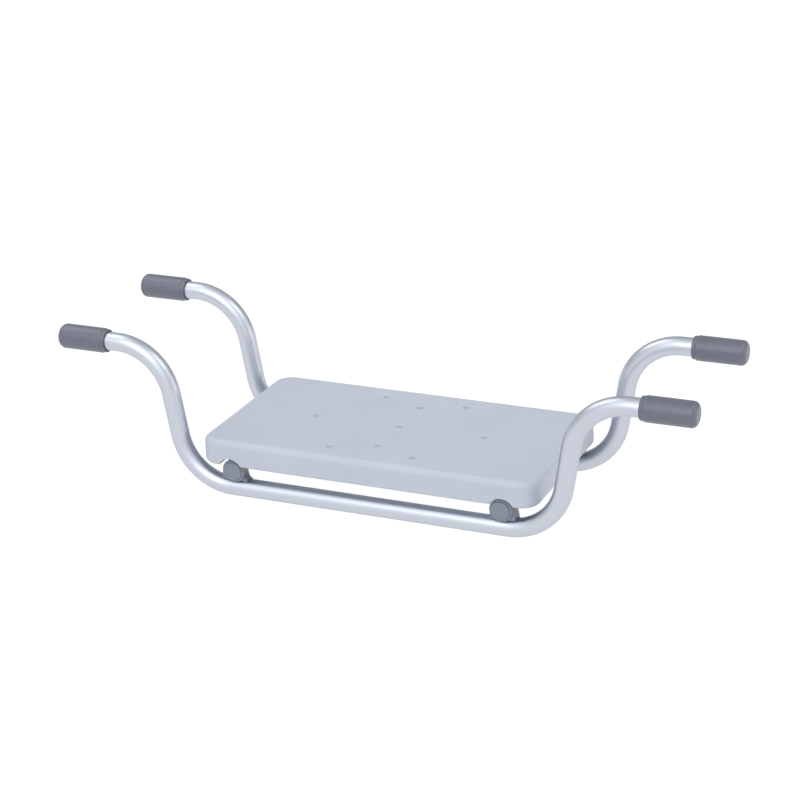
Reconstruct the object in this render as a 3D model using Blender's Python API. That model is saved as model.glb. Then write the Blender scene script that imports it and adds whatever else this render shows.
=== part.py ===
"""Suspended bath seat: a board on two bent tubes, whose gripped arms lie on the side rims of a bath.

Metres, +Z up. X runs across the bath from rim to rim, and Y along the bath. The origin is under the
middle of the seat, at the height of the frame tubes' undersides.
"""

import math

import bmesh
import bpy
from mathutils import Matrix, Vector

GAP = 0.0003  # between pieces that touch
SHARP_ANGLE = math.radians(35)

# Frame tubes: one bottom run and two S-bent arms each, symmetric about X = 0
TUBE_RADIUS = 0.01045
TUBE_WALL = 0.0015
TUBE_Y = 0.093
RUN_HALF_LENGTH = 0.1635
BEND_RADIUS = 0.0644
BEND_ANGLE = math.radians(80.6)
SLOPE_LENGTH = 0.0477
RISE = 2 * BEND_RADIUS * (1 - math.cos(BEND_ANGLE)) + SLOPE_LENGTH * math.sin(BEND_ANGLE)
ARM_START_X = RUN_HALF_LENGTH + 2 * BEND_RADIUS * math.sin(BEND_ANGLE)
ARM_START_X += SLOPE_LENGTH * math.cos(BEND_ANGLE)
RUN_Z = TUBE_RADIUS
ARM_Z = RUN_Z + RISE
TUBE_SIDES = 16
BEND_STEPS = 6

# Grips
HALF_LENGTH = 0.370
GRIP_RADIUS = 0.0140
GRIP_LENGTH = 0.0598
GRIP_END_WALL = 0.004
GRIP_TIP_ROUNDING = 0.0065
GRIP_TIP_STEPS = 4
GRIP_MOUTH_CHAMFER = 0.0016
GRIP_SIDES = 20

# Cross tubes, which run along Y above the frame tubes
CROSS_RADIUS = 0.008
CROSS_X = 0.1587
CROSS_Z = RUN_Z + 0.0212
CROSS_HALF_LENGTH = 0.0985

# End caps: a flange in front of the cross tube and a hollow plug inside it
CAP_RADIUS = 0.0133
CAP_FLANGE = 0.002
CAP_CHAMFER = 0.0008
CAP_FACE_RAISE = 0.0018  # of the round face in front of the flange
CAP_FACE_RADIUS = 0.0103
CAP_FACE_Y = CROSS_HALF_LENGTH + GAP + CAP_FLANGE
PLUG_LENGTH = 0.0145
PLUG_WALL = 0.0025
CAP_SIDES = 20
SCALLOP_SIDES = 40

# Saddles between the cross tubes and the frame tubes
SADDLE_OUTER_Y = 0.0984
SADDLE_INNER_Y = 0.0835
SADDLE_STATIONS = 6
SADDLE_SEAT_RADIUS = TUBE_RADIUS + 0.0005  # of its hollow over the frame tube
SADDLE_LIP_RADIUS = SADDLE_SEAT_RADIUS + 0.0013  # the same hollow's outside
SADDLE_HALF_LENGTH = 0.0155
SADDLE_CRADLE_RADIUS = CROSS_RADIUS + GAP
SADDLE_ARM_RADII = {1: 0.013, -1: 0.0102}  # of the outer and of the inner arm, about the cradle's middle
ARM_LOW_ANGLES = {1: math.radians(20), -1: math.radians(-15)}  # where the flanks meet the arms
ARM_TOP_ANGLE = math.radians(55)  # where the arms end
ARM_STEPS = {1: 3, -1: 5}
WAIST_STEPS = 4  # along the inner flank, which curves in from the foot
WAIST_X = 0.0108
WAIST_ABOVE_LIP = 0.0012
CRADLE_STEPS = 12
SOLE_STEPS = 3  # along the part of the sole that follows the frame tube's bend

# Seat board
SEAT_HALF_X = 0.198
SEAT_HALF_Y = 0.1055
SEAT_BOTTOM = RUN_Z + 0.0275
SEAT_TOP = RUN_Z + 0.0575
SEAT_CORNER = 0.0214
SEAT_TOP_ROUNDING = 0.0072
SEAT_BOTTOM_ROUNDING = 0.005
SEAT_CORNER_STEPS = 4
SEAT_TOP_STEPS = 3
SEAT_BOTTOM_STEPS = 2
SEAT_SKIN = 0.003
DRAIN_RADIUS = 0.0047  # at the top, where each hole is countersunk
DRAIN_THROAT_RADIUS = 0.0021
DRAIN_LEAN = math.radians(35)  # of the countersink's wall, from upright
DRAIN_MOUTH_DEPTH = (DRAIN_RADIUS - DRAIN_THROAT_RADIUS) / math.tan(DRAIN_LEAN)
DRAIN_WALL = 0.0025
DRAIN_AT_SIDE = 0.1017
DRAIN_AT_END = 0.0585
DRAIN_AT_CORNER = (0.0493, 0.0771)
NOTCH_RADIUS = 0.0155  # arches over the ends of the cross tubes
NOTCH_X = 0.1605
NOTCH_INNER_Y = 0.081
VENT_RADIUS = 0.0015  # in the underside
VENT_Y = 0.03

# Fasteners, M5
SHANK_RADIUS = 0.0025
HOLE_RADIUS = 0.0028
HEAD_RADIUS = 0.00475
HEAD_HEIGHT = 0.00275
HEAD_TOP_RADIUS = 0.00285
HEAD_SIDE_HEIGHT = 0.0008
SOCKET_RADIUS = 0.00173  # across corners, a 3 mm key
SOCKET_DEPTH = 0.0016
FRAME_BOLT_LENGTH = 0.028
SEAT_SCREW_LENGTH = 0.030
SEAT_SCREW_Y = 0.055
WASHER_RADIUS = 0.006
WASHER_THICKNESS = 0.001
INSERT_RADIUS = 0.004
INSERT_LENGTH = 0.012
INSERT_SPARE = 0.003  # depth of its pocket past its end
INSERT_Z = CROSS_Z + CROSS_RADIUS + 2 * GAP
BOSS_RADIUS = 0.0075
FASTENER_SIDES = 12

# Rivet nuts in the frame tubes' top walls
NUT_HEAD_RADIUS = 0.004
NUT_HEAD_HEIGHT = 0.0006
NUT_BODY_RADIUS = 0.0034
NUT_BULGE_RADIUS = 0.0045
NUT_HOLE_RADIUS = NUT_BODY_RADIUS + GAP
NUT_BULGE_TOP = 0.003  # below the tube's top
NUT_BULGE_HEIGHT = 0.0024
NUT_LENGTH = 0.0115

# Cutters
CUTTER_MARGIN = 0.01  # past the seat's top and bottom
CUTTER_END_Y = 0.15  # past the seat's front and back
BORE_SIDES = 24
SMALL_HOLE_SIDES = 12
NUT_HOLE_SIDES = 16
VENT_SIDES = 8

SIDES = (("left", -1), ("right", 1))
ENDS = (("front", -1), ("rear", 1))
UP = Vector((0, 0, 1))


def clear_scene():
    for obj in list(bpy.data.objects):
        bpy.data.objects.remove(obj, do_unlink=True)


def make_material(name, color, metallic, roughness):
    material = bpy.data.materials.new(name)
    material.use_nodes = True
    shader = material.node_tree.nodes["Principled BSDF"]
    shader.inputs["Base Color"].default_value = (*color, 1)
    shader.inputs["Metallic"].default_value = metallic
    shader.inputs["Roughness"].default_value = roughness
    material.diffuse_color = (*color, 1)
    return material


def mesh_object(name, mesh, material, location=(0, 0, 0), axis=UP):
    """An object whose local +Z points along axis."""
    obj = bpy.data.objects.new(name, mesh)
    bpy.context.scene.collection.objects.link(obj)
    turn = UP.rotation_difference(Vector(axis)).to_matrix().to_4x4()
    obj.matrix_world = Matrix.Translation(location) @ turn
    if material and not mesh.materials:
        mesh.materials.append(material)
    return obj


def mesh_of_rings(name, rings, closed):
    """Skins a row of rings of points. A ring of one point closes the shape there.

    With closed, the last ring is joined to the first.
    """
    shape = bmesh.new()
    loops = [[shape.verts.new(point) for point in ring] for ring in rings]
    pairs = list(zip(loops, loops[1:]))
    if closed:
        pairs.append((loops[-1], loops[0]))
    for first, second in pairs:
        count = max(len(first), len(second))
        for i in range(count):
            j = (i + 1) % count
            corners = [first[i % len(first)], first[j % len(first)]]
            corners += [second[j % len(second)], second[i % len(second)]]
            shape.faces.new(list(dict.fromkeys(corners)))
    if not closed:
        for loop in (loops[0], loops[-1]):
            if len(loop) > 2:
                shape.faces.new(loop)
    bmesh.ops.recalc_face_normals(shape, faces=shape.faces)
    mesh = bpy.data.meshes.new(name)
    shape.to_mesh(mesh)
    shape.free()
    mesh.shade_smooth()
    mesh.set_sharp_from_angle(angle=SHARP_ANGLE)
    return mesh


def hexagon_factor(angle):
    """A hexagon's radius in direction angle, for a corner radius of 1."""
    return math.cos(math.pi / 6) / math.cos(angle % (math.pi / 3) - math.pi / 6)


def turned_mesh(name, outline, sides, closed=False):
    """Turns an outline of (radius, height) about Z. A third value of True makes that ring a hexagon."""
    rings = []
    for radius, height, *hexagon in outline:
        if radius == 0:
            rings.append([(0, 0, height)])
            continue
        ring = []
        for i in range(sides):
            angle = 2 * math.pi * i / sides
            reach = radius * (hexagon_factor(angle) if hexagon else 1)
            ring.append((reach * math.cos(angle), reach * math.sin(angle), height))
        rings.append(ring)
    return mesh_of_rings(name, rings, closed)


def rounding(center, radius, start, end, steps):
    """Points (across, up) along an arc about center, with the angles in degrees."""
    points = []
    for i in range(steps + 1):
        angle = math.radians(start + (end - start) * i / steps)
        points.append((center[0] + radius * math.cos(angle), center[1] + radius * math.sin(angle)))
    return points


def cutter(name, radius, start, end, sides=BORE_SIDES):
    """A hidden cylinder from start to end, for a Boolean."""
    start = Vector(start)
    length = (Vector(end) - start).length
    mesh = turned_mesh(name, [(0, 0), (radius, 0), (radius, length), (0, length)], sides)
    obj = mesh_object(name, mesh, None, start, Vector(end) - start)
    hide(obj)
    return obj


def hide(obj):
    obj.hide_render = True
    obj.display_type = "WIRE"


def cut(obj, tool, solver="EXACT"):
    modifier = obj.modifiers.new(f"cut_{tool.name}", "BOOLEAN")
    modifier.operation = "DIFFERENCE"
    modifier.solver = solver
    modifier.object = tool


def arm_rings():
    """Where the rings of a tube's right half lie: (x, height above the run's middle, slope)."""
    stations = []
    for i in range(BEND_STEPS + 1):
        slope = BEND_ANGLE * i / BEND_STEPS
        x = RUN_HALF_LENGTH + BEND_RADIUS * math.sin(slope)
        stations.append((x, BEND_RADIUS * (1 - math.cos(slope)), slope))
    for i in range(BEND_STEPS + 1):
        slope = BEND_ANGLE * (1 - i / BEND_STEPS)
        x = ARM_START_X - BEND_RADIUS * math.sin(slope)
        stations.append((x, RISE - BEND_RADIUS * (1 - math.cos(slope)), slope))
    stations.append((HALF_LENGTH - GRIP_END_WALL - GAP, RISE, 0))
    return stations


def bent_ring(station, radius):
    x, height, slope = station
    up = Vector((-math.sin(slope), 0, math.cos(slope)))
    ring = []
    for i in range(TUBE_SIDES):
        angle = 2 * math.pi * i / TUBE_SIDES
        out = math.cos(angle) * up + math.sin(angle) * Vector((0, 1, 0))
        ring.append(Vector((x, 0, height)) + radius * out)
    return ring


def frame_tube(name, y, material):
    right = arm_rings()
    left = [(-x, height, -slope) for x, height, slope in reversed(right)]
    path = left + right
    outer = [bent_ring(station, TUBE_RADIUS) for station in path]
    inner = [bent_ring(station, TUBE_RADIUS - TUBE_WALL) for station in reversed(path)]
    tube = mesh_object(name, mesh_of_rings(name, outer + inner, True), material, (0, y, RUN_Z))
    for side, sign in SIDES:
        start = (sign * CROSS_X, y, RUN_Z)
        end = (sign * CROSS_X, y, RUN_Z + 2 * TUBE_RADIUS)
        cut(tube, cutter(f"{name}_nut_hole_{side}", NUT_HOLE_RADIUS, start, end, NUT_HOLE_SIDES))
    return tube


def straight_tube(name, x, material):
    """A cross tube with a hole through both walls for each frame bolt and each seat screw."""
    length = 2 * CROSS_HALF_LENGTH
    bore = CROSS_RADIUS - TUBE_WALL
    outline = [(CROSS_RADIUS, 0), (CROSS_RADIUS, length), (bore, length), (bore, 0)]
    mesh = turned_mesh(name, outline, TUBE_SIDES, closed=True)
    tube = mesh_object(name, mesh, material, (x, -CROSS_HALF_LENGTH, CROSS_Z), (0, 1, 0))
    for i, y in enumerate((-TUBE_Y, -SEAT_SCREW_Y, SEAT_SCREW_Y, TUBE_Y)):
        start = (x, y, CROSS_Z - 2 * CROSS_RADIUS)
        end = (x, y, CROSS_Z + 2 * CROSS_RADIUS)
        cut(tube, cutter(f"{name}_hole_{i}", HOLE_RADIUS, start, end, SMALL_HOLE_SIDES))
    return tube


def grip_mesh(material):
    """Local Z runs from the open mouth to the closed tip."""
    bore = TUBE_RADIUS + GAP
    tip_center = (GRIP_RADIUS - GRIP_TIP_ROUNDING, GRIP_LENGTH - GRIP_TIP_ROUNDING)
    outline = [(0, GRIP_LENGTH)]
    outline += rounding(tip_center, GRIP_TIP_ROUNDING, 90, 0, GRIP_TIP_STEPS)
    outline += [(GRIP_RADIUS, GRIP_MOUTH_CHAMFER), (GRIP_RADIUS - GRIP_MOUTH_CHAMFER, 0)]
    outline += [(bore, 0), (bore, GRIP_LENGTH - GRIP_END_WALL), (0, GRIP_LENGTH - GRIP_END_WALL)]
    mesh = turned_mesh("grip", outline, GRIP_SIDES)
    mesh.materials.append(material)
    return mesh


def cap_mesh(material):
    """Local Z runs from the end of the plug to the flange's face."""
    back = PLUG_LENGTH + GAP
    face = back + CAP_FLANGE
    plug = CROSS_RADIUS - TUBE_WALL - GAP
    outline = [(0, face + CAP_FACE_RAISE), (CAP_FACE_RADIUS, face + CAP_FACE_RAISE)]
    outline += [(CAP_FACE_RADIUS, face), (CAP_RADIUS - CAP_CHAMFER, face)]
    outline += [(CAP_RADIUS, face - CAP_CHAMFER), (CAP_RADIUS, back), (plug, back), (plug, 0)]
    outline += [(plug - PLUG_WALL, 0), (plug - PLUG_WALL, back), (0, back)]
    mesh = turned_mesh("cap", outline, CAP_SIDES)
    mesh.materials.append(material)
    return mesh


def end_cap(name, mesh, x, sign):
    """The plug has a cross hole for the frame bolt, and the flange a scallop over the frame tube."""
    inner_y = CAP_FACE_Y - CAP_FLANGE - GAP - PLUG_LENGTH
    cap = mesh_object(name, mesh, None, (x, sign * inner_y, CROSS_Z), (0, sign, 0))
    start = (x, sign * TUBE_Y, CROSS_Z - CROSS_RADIUS)
    end = (x, sign * TUBE_Y, CROSS_Z + CROSS_RADIUS)
    cut(cap, cutter(f"{name}_hole", HOLE_RADIUS, start, end, SMALL_HOLE_SIDES))
    start = (x - 2 * CAP_RADIUS, sign * TUBE_Y, RUN_Z)
    end = (x + 2 * CAP_RADIUS, sign * TUBE_Y, RUN_Z)
    cut(cap, cutter(f"{name}_scallop", SADDLE_SEAT_RADIUS, start, end, SCALLOP_SIDES))
    return cap


def frame_surface(outwards, offset, radius):
    """Height above the run's middle of the top of a shell of that radius about the frame tube.

    The place is outwards from the cross tube and offset to the frame tube's side. Past the end of the
    run the shell follows the tube's first bend.
    """
    into_bend = max(0, CROSS_X + outwards - RUN_HALF_LENGTH)
    from_center = BEND_RADIUS - math.sqrt(radius**2 - offset**2)
    return BEND_RADIUS - math.sqrt(from_center**2 - into_bend**2)


def saddle_flank(sign, offset):
    """One side of the saddle's section, from its foot to the top of its arm, as (outwards, height)."""
    foot = sign * SADDLE_HALF_LENGTH
    points = [(foot, frame_surface(foot, offset, SADDLE_SEAT_RADIUS))]
    points.append((foot, frame_surface(foot, offset, SADDLE_LIP_RADIUS)))
    middle = CROSS_Z - RUN_Z
    radius = SADDLE_ARM_RADII[sign]
    low = ARM_LOW_ANGLES[sign]
    if sign < 0:
        lip = Vector(points[-1])
        bend = Vector((-WAIST_X, lip.y + WAIST_ABOVE_LIP))
        arm = Vector((-radius * math.cos(low), middle + radius * math.sin(low)))
        for i in range(1, WAIST_STEPS):
            way = i / WAIST_STEPS
            point = lip * (1 - way) ** 2 + bend * 2 * way * (1 - way) + arm * way**2
            points.append((point.x, point.y))
    for i in range(ARM_STEPS[sign] + 1):
        angle = low + (ARM_TOP_ANGLE - low) * i / ARM_STEPS[sign]
        points.append((sign * radius * math.cos(angle), middle + radius * math.sin(angle)))
    return points


def saddle_outline(offset):
    """The saddle's section at offset from the frame tube's middle, as (outwards, height).

    Heights are above the run's middle.
    """
    top = math.degrees(ARM_TOP_ANGLE)
    middle = (0, CROSS_Z - RUN_Z)
    cradle = rounding(middle, SADDLE_CRADLE_RADIUS, top, -180 - top, CRADLE_STEPS)
    bend_start = RUN_HALF_LENGTH - CROSS_X
    sole = []
    for i in range(SOLE_STEPS):
        u = bend_start + (SADDLE_HALF_LENGTH - bend_start) * i / SOLE_STEPS
        sole.append((u, frame_surface(u, offset, SADDLE_SEAT_RADIUS)))
    return saddle_flank(1, offset) + cradle + saddle_flank(-1, offset)[::-1] + sole


def saddle_mesh(hand, material):
    """Local Z is up and local Y points out of the seat. The tube bends on the side hand of local X."""
    inner = SADDLE_INNER_Y - TUBE_Y
    outer = SADDLE_OUTER_Y - TUBE_Y
    rings = []
    for i in range(SADDLE_STATIONS):
        offset = inner + (outer - inner) * i / (SADDLE_STATIONS - 1)
        rings.append([(hand * u, offset, z) for u, z in saddle_outline(offset)])
    mesh = mesh_of_rings("saddle", rings, False)
    mesh.materials.append(material)
    return mesh


def saddle(name, mesh, x, out):
    obj = mesh_object(name, mesh, None, (x, out * TUBE_Y, RUN_Z))
    if out < 0:
        obj.rotation_euler = (0, 0, math.pi)
    start = (x, out * TUBE_Y, RUN_Z)
    hole_end = (x, out * TUBE_Y, CROSS_Z)
    pocket_end = (x, out * TUBE_Y, RUN_Z + TUBE_RADIUS + 2 * GAP + NUT_HEAD_HEIGHT)
    cut(obj, cutter(f"{name}_bolt_hole", HOLE_RADIUS, start, hole_end, SMALL_HOLE_SIDES))
    cut(obj, cutter(f"{name}_nut_pocket", NUT_HEAD_RADIUS + GAP, start, pocket_end, NUT_HOLE_SIDES))
    return obj


def fastener_mesh(name, length, material):
    """A button head on local Z = 0 with a hexagon socket, and a shank that runs down."""
    socket_floor = HEAD_HEIGHT - SOCKET_DEPTH
    outline = [(0, socket_floor), (SOCKET_RADIUS, socket_floor, True)]
    outline += [(SOCKET_RADIUS, HEAD_HEIGHT, True), (HEAD_TOP_RADIUS, HEAD_HEIGHT)]
    outline += [(HEAD_RADIUS, HEAD_SIDE_HEIGHT), (HEAD_RADIUS, 0)]
    outline += [(SHANK_RADIUS, 0), (SHANK_RADIUS, -length), (0, -length)]
    mesh = turned_mesh(name, outline, FASTENER_SIDES)
    mesh.materials.append(material)
    return mesh


def rivet_nut_mesh(material):
    """Local Z = 0 is the top of the frame tube."""
    head = GAP + NUT_HEAD_HEIGHT
    outline = [(HOLE_RADIUS, head), (NUT_HEAD_RADIUS, head), (NUT_HEAD_RADIUS, GAP)]
    outline += [(NUT_BODY_RADIUS, GAP), (NUT_BODY_RADIUS, -NUT_BULGE_TOP)]
    outline += [(NUT_BULGE_RADIUS, -NUT_BULGE_TOP - NUT_BULGE_HEIGHT / 2)]
    outline += [(NUT_BODY_RADIUS, -NUT_BULGE_TOP - NUT_BULGE_HEIGHT)]
    outline += [(NUT_BODY_RADIUS, head - NUT_LENGTH), (HOLE_RADIUS, head - NUT_LENGTH)]
    mesh = turned_mesh("rivet_nut", outline, FASTENER_SIDES, closed=True)
    mesh.materials.append(material)
    return mesh


def sleeve_mesh(name, outer, bore, length, material):
    """A washer or a threaded insert: a plain ring that runs up from local Z = 0."""
    outline = [(outer, 0), (outer, length), (bore, length), (bore, 0)]
    mesh = turned_mesh(name, outline, FASTENER_SIDES, closed=True)
    mesh.materials.append(material)
    return mesh


def board_mesh(name, inset):
    """The seat board's solid, or the same shape drawn in by inset on every side."""
    top_rounding = SEAT_TOP_ROUNDING - inset
    bottom_rounding = SEAT_BOTTOM_ROUNDING - inset
    bottom = SEAT_BOTTOM + inset
    top = SEAT_TOP - inset
    low_center = (-bottom_rounding, bottom + bottom_rounding)
    high_center = (-top_rounding, top - top_rounding)
    edge = rounding(low_center, bottom_rounding, -90, 0, SEAT_BOTTOM_STEPS)
    edge += rounding(high_center, top_rounding, 0, 90, SEAT_TOP_STEPS)
    rings = [rounded_rectangle(-inset + shift, height) for shift, height in edge]
    return mesh_of_rings(name, rings, False)


def rounded_rectangle(shift, height):
    """The seat's outline moved outwards by shift."""
    radius = SEAT_CORNER + shift
    ring = []
    for quarter, (sign_x, sign_y) in enumerate(((1, 1), (-1, 1), (-1, -1), (1, -1))):
        center = (sign_x * (SEAT_HALF_X - SEAT_CORNER), sign_y * (SEAT_HALF_Y - SEAT_CORNER))
        for x, y in rounding(center, radius, 90 * quarter, 90 * quarter + 90, SEAT_CORNER_STEPS):
            ring.append((x, y, height))
    return ring


def drains():
    """Where the drain holes are, as (x, y)."""
    places = [(0, 0)]
    for sign in (-1, 1):
        places += [(sign * DRAIN_AT_SIDE, 0), (0, sign * DRAIN_AT_END)]
        places += [(side * DRAIN_AT_CORNER[0], sign * DRAIN_AT_CORNER[1]) for side in (-1, 1)]
    return places


def upright_cutter(name, radius, x, y, sides):
    """A cutter through the whole height of the seat."""
    low = (x, y, SEAT_BOTTOM - CUTTER_MARGIN)
    high = (x, y, SEAT_TOP + CUTTER_MARGIN)
    return cutter(name, radius, low, high, sides)


def drain_cutter(name, x, y):
    """A narrow hole that widens to DRAIN_RADIUS at the seat's top."""
    low = SEAT_BOTTOM - CUTTER_MARGIN
    high = SEAT_TOP + CUTTER_MARGIN
    outline = [(0, low), (DRAIN_THROAT_RADIUS, low)]
    outline += [(DRAIN_THROAT_RADIUS, SEAT_TOP - DRAIN_MOUTH_DEPTH)]
    outline += [(DRAIN_RADIUS + CUTTER_MARGIN * math.tan(DRAIN_LEAN), high), (0, high)]
    tool = mesh_object(name, turned_mesh(name, outline, SMALL_HOLE_SIDES), None, (x, y, 0))
    hide(tool)
    return tool


def seat_hollow():
    """The space inside the seat: it leaves a skin, a post at each drain and a boss at each insert."""
    hollow = mesh_object("seat_hollow", board_mesh("seat_hollow", SEAT_SKIN), None)
    hide(hollow)
    tools = []
    for i, (x, y) in enumerate(drains()):
        tools.append(upright_cutter(f"post_{i}", DRAIN_RADIUS + DRAIN_WALL, x, y, SMALL_HOLE_SIDES))
    for side, sign in SIDES:
        x = sign * CROSS_X
        start = (x, -CUTTER_END_Y, CROSS_Z)
        end = (x, CUTTER_END_Y, CROSS_Z)
        tools.append(cutter(f"rib_{side}", SADDLE_CRADLE_RADIUS + SEAT_SKIN, start, end))
        for place, out in ENDS:
            start = (sign * NOTCH_X, out * (NOTCH_INNER_Y - SEAT_SKIN), CROSS_Z)
            end = (sign * NOTCH_X, out * CUTTER_END_Y, CROSS_Z)
            tools.append(cutter(f"arch_{side}_{place}", NOTCH_RADIUS + SEAT_SKIN, start, end))
            y = out * SEAT_SCREW_Y
            tools.append(upright_cutter(f"boss_{side}_{place}", BOSS_RADIUS, x, y, SMALL_HOLE_SIDES))
    for tool in tools:
        cut(hollow, tool, "MANIFOLD")
    return hollow


def seat_board(material):
    seat = mesh_object("seat", board_mesh("seat", 0), material)
    tools = [seat_hollow()]
    for i, (x, y) in enumerate(drains()):
        tools.append(drain_cutter(f"drain_{i}", x, y))
    for side, sign in SIDES:
        x = sign * CROSS_X
        start = (x, -CUTTER_END_Y, CROSS_Z)
        end = (x, CUTTER_END_Y, CROSS_Z)
        tools.append(cutter(f"channel_{side}", SADDLE_CRADLE_RADIUS, start, end))
        for place, out in ENDS:
            start = (sign * NOTCH_X, out * NOTCH_INNER_Y, CROSS_Z)
            end = (sign * NOTCH_X, out * CUTTER_END_Y, CROSS_Z)
            tools.append(cutter(f"notch_{side}_{place}", NOTCH_RADIUS, start, end))
            start = (x, out * SEAT_SCREW_Y, CROSS_Z)
            end = (x, out * SEAT_SCREW_Y, INSERT_Z + INSERT_LENGTH + INSERT_SPARE)
            name = f"pocket_{side}_{place}"
            tools.append(cutter(name, INSERT_RADIUS + GAP, start, end, NUT_HOLE_SIDES))
    start = (0, VENT_Y, SEAT_BOTTOM - CUTTER_MARGIN)
    end = (0, VENT_Y, SEAT_BOTTOM + 2 * SEAT_SKIN)
    tools.append(cutter("vent", VENT_RADIUS, start, end, VENT_SIDES))
    for tool in tools:
        cut(seat, tool, "MANIFOLD")
    return seat


def build():
    clear_scene()
    aluminium = make_material("aluminium", (0.78, 0.79, 0.83), 1.0, 0.3)
    board_plastic = make_material("seat_plastic", (0.56, 0.59, 0.66), 0.0, 0.45)
    grip_vinyl = make_material("grip_vinyl", (0.16, 0.175, 0.225), 0.0, 0.5)
    cap_plastic = make_material("cap_plastic", (0.23, 0.25, 0.31), 0.0, 0.45)
    steel = make_material("stainless_steel", (0.6, 0.6, 0.61), 1.0, 0.3)
    brass = make_material("brass", (0.75, 0.56, 0.25), 1.0, 0.35)

    parts = [seat_board(board_plastic)]
    grips = grip_mesh(grip_vinyl)
    caps = cap_mesh(cap_plastic)
    saddles = {hand: saddle_mesh(hand, cap_plastic) for hand in (-1, 1)}
    frame_bolts = fastener_mesh("frame_bolt", FRAME_BOLT_LENGTH, steel)
    seat_screws = fastener_mesh("seat_screw", SEAT_SCREW_LENGTH, steel)
    nuts = rivet_nut_mesh(steel)
    washers = sleeve_mesh("seat_washer", WASHER_RADIUS, HOLE_RADIUS, WASHER_THICKNESS, steel)
    inserts = sleeve_mesh("seat_insert", INSERT_RADIUS, HOLE_RADIUS, INSERT_LENGTH, brass)

    for end, out in ENDS:
        parts.append(frame_tube(f"{end}_frame_tube", out * TUBE_Y, aluminium))
    for side, sign in SIDES:
        x = sign * CROSS_X
        parts.append(straight_tube(f"{side}_cross_tube", x, aluminium))
        for end, out in ENDS:
            place = f"{end}_{side}"
            mouth = (sign * (HALF_LENGTH - GRIP_LENGTH), out * TUBE_Y, ARM_Z)
            parts.append(mesh_object(f"grip_{place}", grips, None, mouth, (sign, 0, 0)))
            parts.append(end_cap(f"cap_{place}", caps, x, out))
            parts.append(saddle(f"saddle_{place}", saddles[sign * out], x, out))
            bolt_at = (x, out * TUBE_Y, CROSS_Z + CROSS_RADIUS + GAP)
            parts.append(mesh_object(f"frame_bolt_{place}", frame_bolts, None, bolt_at))
            nut_at = (x, out * TUBE_Y, RUN_Z + TUBE_RADIUS)
            parts.append(mesh_object(f"rivet_nut_{place}", nuts, None, nut_at))
            y = out * SEAT_SCREW_Y
            washer_at = (x, y, CROSS_Z - CROSS_RADIUS - GAP - WASHER_THICKNESS)
            parts.append(mesh_object(f"seat_washer_{place}", washers, None, washer_at))
            screw_at = (x, y, washer_at[2] - GAP)
            parts.append(mesh_object(f"seat_screw_{place}", seat_screws, None, screw_at, (0, 0, -1)))
            insert_at = (x, y, INSERT_Z)
            parts.append(mesh_object(f"seat_insert_{place}", inserts, None, insert_at))

    root = bpy.data.objects.new("suspended_bath_seat", None)
    bpy.context.scene.collection.objects.link(root)
    for part in parts:
        part.parent = root


build()
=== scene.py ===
"""Looks for a suspended bath seat: a moulded board on two bent aluminium tubes with soft grips."""

import math

import bmesh
import bpy
from mathutils import Matrix, Vector


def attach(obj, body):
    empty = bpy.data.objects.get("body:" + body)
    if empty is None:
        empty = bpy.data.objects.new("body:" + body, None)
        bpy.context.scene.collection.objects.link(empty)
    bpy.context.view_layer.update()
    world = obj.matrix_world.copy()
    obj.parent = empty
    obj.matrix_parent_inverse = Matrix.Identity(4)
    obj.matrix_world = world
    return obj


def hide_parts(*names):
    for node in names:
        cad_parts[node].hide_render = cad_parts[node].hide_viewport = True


# Sizes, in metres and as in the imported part
GAP = 0.0003
TUBE_RADIUS = 0.01045
TUBE_WALL = 0.0015
TUBE_Y = 0.093
RUN_HALF_LENGTH = 0.1635
BEND_RADIUS = 0.0644
BEND_ANGLE = math.radians(80.6)
SLOPE_LENGTH = 0.0477
RISE = 2 * BEND_RADIUS * (1 - math.cos(BEND_ANGLE)) + SLOPE_LENGTH * math.sin(BEND_ANGLE)
ARM_START_X = RUN_HALF_LENGTH + 2 * BEND_RADIUS * math.sin(BEND_ANGLE)
ARM_START_X += SLOPE_LENGTH * math.cos(BEND_ANGLE)
RUN_Z = TUBE_RADIUS
ARM_Z = RUN_Z + RISE
HALF_LENGTH = 0.370
GRIP_RADIUS = 0.0140
GRIP_LENGTH = 0.0598
GRIP_END_WALL = 0.004
GRIP_TIP_ROUNDING = 0.0065
GRIP_LIP_LENGTH = 0.0038
GRIP_LIP_SLOPE = 0.0014
GRIP_LIP_DROP = 0.0009
CROSS_RADIUS = 0.008
CROSS_X = 0.1587
CROSS_Z = RUN_Z + 0.0212
CROSS_HALF_LENGTH = 0.0985
CAP_RADIUS = 0.0133
CAP_FLANGE = 0.002
CAP_CHAMFER = 0.0008
CAP_FACE_RAISE = 0.0018
CAP_FACE_RADIUS = 0.0103
CAP_FACE_Y = CROSS_HALF_LENGTH + GAP + CAP_FLANGE
PLUG_LENGTH = 0.0145
PLUG_WALL = 0.0025
SADDLE_OUTER_Y = 0.0984
SADDLE_INNER_Y = 0.0835
SADDLE_SEAT_RADIUS = TUBE_RADIUS + 0.0005
SADDLE_LIP_RADIUS = SADDLE_SEAT_RADIUS + 0.0013
SADDLE_HALF_LENGTH = 0.0155
SADDLE_CRADLE_RADIUS = CROSS_RADIUS + GAP
SADDLE_ARM_RADII = {1: 0.013, -1: 0.0102}
ARM_LOW_ANGLES = {1: math.radians(20), -1: math.radians(-15)}
ARM_TOP_ANGLE = math.radians(55)
WAIST_X = 0.0108
WAIST_ABOVE_LIP = 0.0012
SEAT_HALF_X = 0.198
SEAT_HALF_Y = 0.1055
SEAT_BOTTOM = RUN_Z + 0.0275
SEAT_TOP = RUN_Z + 0.0575
SEAT_CORNER = 0.0214
SEAT_TOP_ROUNDING = 0.0072
SEAT_BOTTOM_ROUNDING = 0.005
DRAIN_RADIUS = 0.0047
DRAIN_THROAT_RADIUS = 0.0021
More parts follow.
